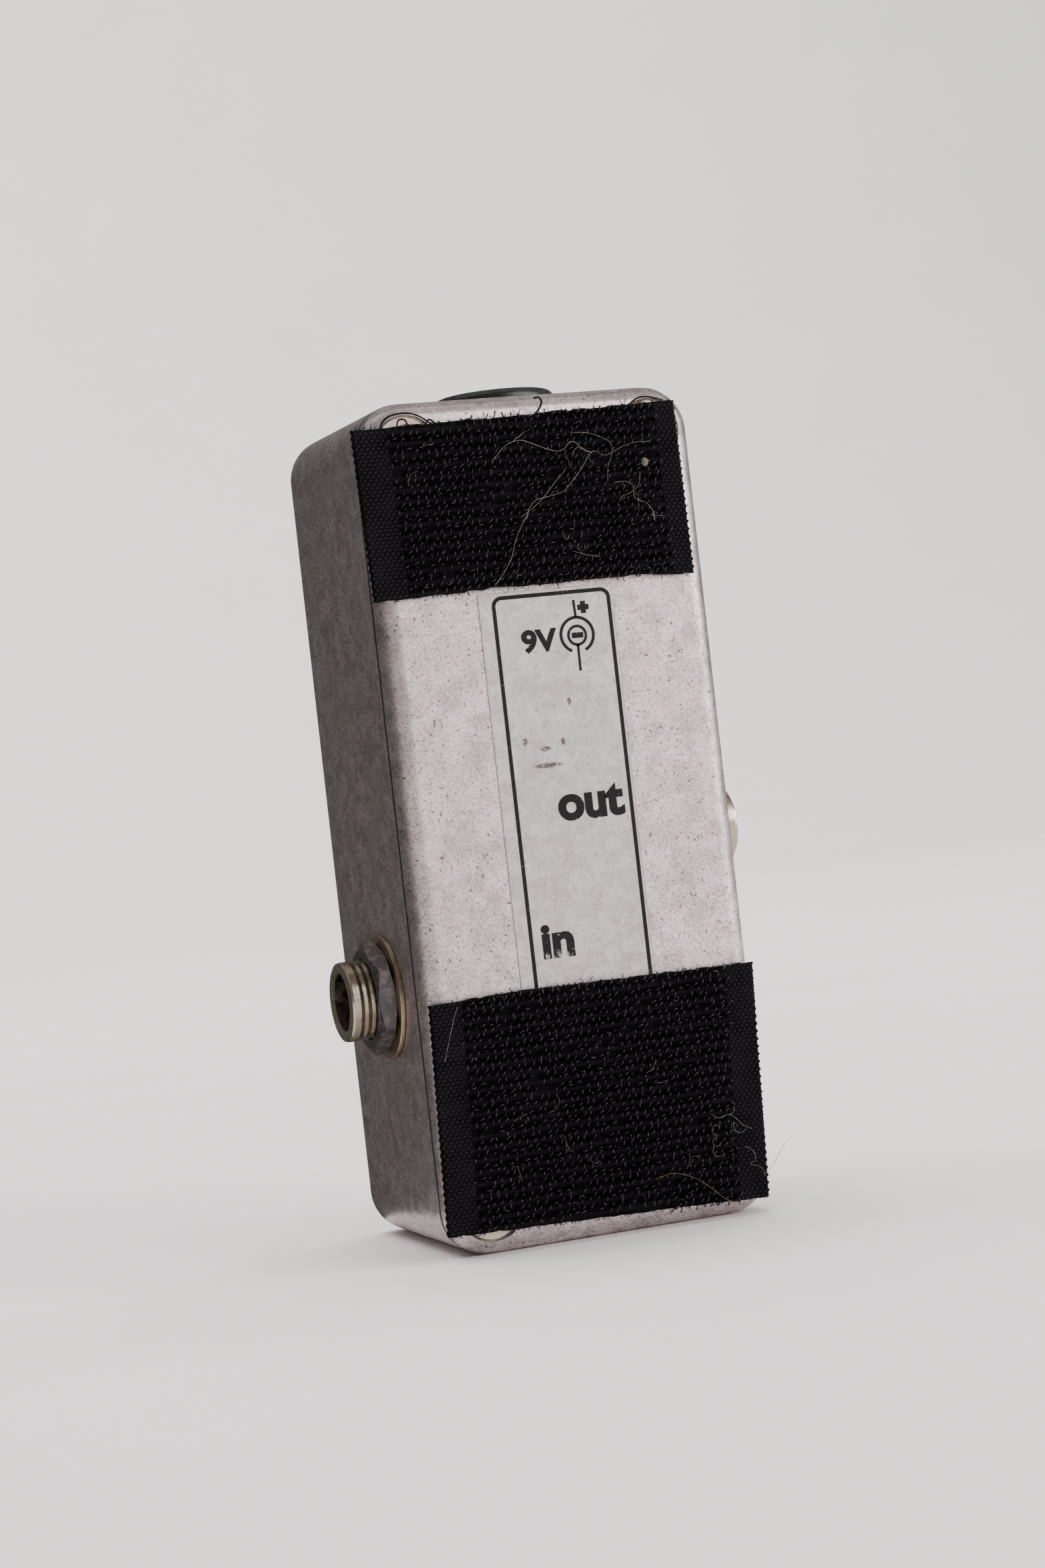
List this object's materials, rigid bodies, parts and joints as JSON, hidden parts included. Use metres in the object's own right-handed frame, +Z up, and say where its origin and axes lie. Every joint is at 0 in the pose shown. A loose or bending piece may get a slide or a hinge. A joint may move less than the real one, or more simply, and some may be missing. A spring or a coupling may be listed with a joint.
{
  "type": "direct injection box",
  "caption": "Small die-cast direct injection box with opposed quarter-inch sockets, power socket, screwed base lid and hook-tape strips.",
  "frame": {"origin": "middle of the flat end that the box stands on, at mid width and mid depth of the enclosure", "axes": "+Z up the long side towards the power socket end, -Y out of the base lid, +X towards the output jack"},
  "size_m": [0.0483, 0.0464, 0.0945],
  "materials": {
    "cast_aluminium": "bare die-cast alloy, matt, mottled and lightly scratched",
    "screw_steel": "zinc plated",
    "hook_tape": "woven nylon hook tape",
    "label_film": "thin satin silver film",
    "nickel_brass": "nickel plating worn towards brass",
    "washer_brass": "dull plated brass",
    "zinc_nut": "dark cast zinc",
    "spring_brass": "spring brass strip",
    "fibre_board": "pressed vulcanised fibre",
    "black_plastic": "moulded, satin",
    "bright_plating": "bright nickel",
    "tinned_leads": "tinned wire",
    "led_red": "clear tinted epoxy",
    "board_green": "solder-masked glass laminate",
    "nylon": "natural nylon",
    "core_steel": "stacked varnished laminations",
    "winding_tape": "yellow film tape over the winding",
    "capacitor_sleeve": "dark blue shrink sleeve",
    "film_capacitor_red": "moulded box",
    "resistor_blue": "lacquered body with bands",
    "diode_black": "moulded epoxy",
    "wire_insulation": "stranded hook-up wire in PVC"
  },
  "bodies": {
    "case": {"enclosure_body": "cast_aluminium", "base_lid": "cast_aluminium", "lid_screws": "screw_steel", "board_screws": "screw_steel", "hook_tape_upper": "hook_tape", "hook_tape_lower": "hook_tape", "label_film": "label_film", "input_jack_bushing": "nickel_brass", "output_jack_bushing": "nickel_brass", "input_jack_rivets": "nickel_brass", "output_jack_rivets": "nickel_brass", "dc_centre_pin": "nickel_brass", "dc_terminals": "nickel_brass", "toggle_terminals": "nickel_brass", "input_jack_frame": "nickel_brass", "output_jack_frame": "nickel_brass", "input_jack_washer": "washer_brass", "output_jack_washer": "washer_brass", "input_jack_nut": "zinc_nut", "output_jack_nut": "zinc_nut", "input_jack_tip_terminal": "spring_brass", "output_jack_tip_terminal": "spring_brass", "output_jack_ring_terminal": "spring_brass", "input_jack_insulators": "fibre_board", "output_jack_insulators": "fibre_board", "output_jack_gasket": "fibre_board", "dc_jack_housing": "black_plastic", "dc_jack_nut": "black_plastic", "op_amp": "black_plastic", "toggle_body": "black_plastic", "toggle_bushing": "bright_plating", "toggle_nut": "bright_plating", "toggle_washer": "bright_plating", "toggle_bracket": "bright_plating", "led_bezel": "bright_plating", "led_leads": "tinned_leads", "op_amp_legs": "tinned_leads", "transformer_pins": "tinned_leads", "component_leads": "tinned_leads", "status_led": "led_red", "circuit_board": "board_green", "board_standoffs": "nylon", "transformer_core": "core_steel", "transformer_winding": "winding_tape", "electrolytic_capacitors": "capacitor_sleeve", "film_capacitors": "film_capacitor_red", "resistors": "resistor_blue", "polarity_diode": "diode_black", "input_wires": "wire_insulation", "output_wires": "wire_insulation", "power_wires": "wire_insulation", "ground_lift_wires": "wire_insulation"},
    "lever": {"toggle_lever": "bright_plating"},
    "input_tip_leaf": {"input_jack_tip_spring": "spring_brass"},
    "output_tip_leaf": {"output_jack_tip_spring": "spring_brass"},
    "output_ring_leaf": {"output_jack_ring_spring": "spring_brass"},
    "power_leaf": {"dc_sleeve_spring": "nickel_brass"}
  },
  "joints": [
    {"name": "ground_lift_lever", "type": "hinge", "parent": "case", "child": "lever", "pos_m": [0, 0.0165, 0.013], "axis": [0, 0, 1], "range_deg": [0, 24]},
    {"name": "input_tip_contact", "type": "hinge", "parent": "case", "child": "input_tip_leaf", "pos_m": [-0.00785, -0.0019, 0.0223], "axis": [0, 1, 0], "range_deg": [0, 6.5], "stiffness_Nm_per_rad": 0.2},
    {"name": "output_tip_contact", "type": "hinge", "parent": "case", "child": "output_tip_leaf", "pos_m": [0.00675, -0.0019, 0.0489], "axis": [0, 1, 0], "range_deg": [0, 6.5], "stiffness_Nm_per_rad": 0.2},
    {"name": "output_ring_contact", "type": "hinge", "parent": "case", "child": "output_ring_leaf", "pos_m": [0.00675, -0.0019, 0.0477], "axis": [0, 1, 0], "range_deg": [0, 9], "stiffness_Nm_per_rad": 0.1},
    {"name": "power_sleeve_contact", "type": "hinge", "parent": "case", "child": "power_leaf", "pos_m": [0.00555, 0, 0.08475], "axis": [0, 1, 0], "range_deg": [0, 4], "stiffness_Nm_per_rad": 0.02}
  ]
}
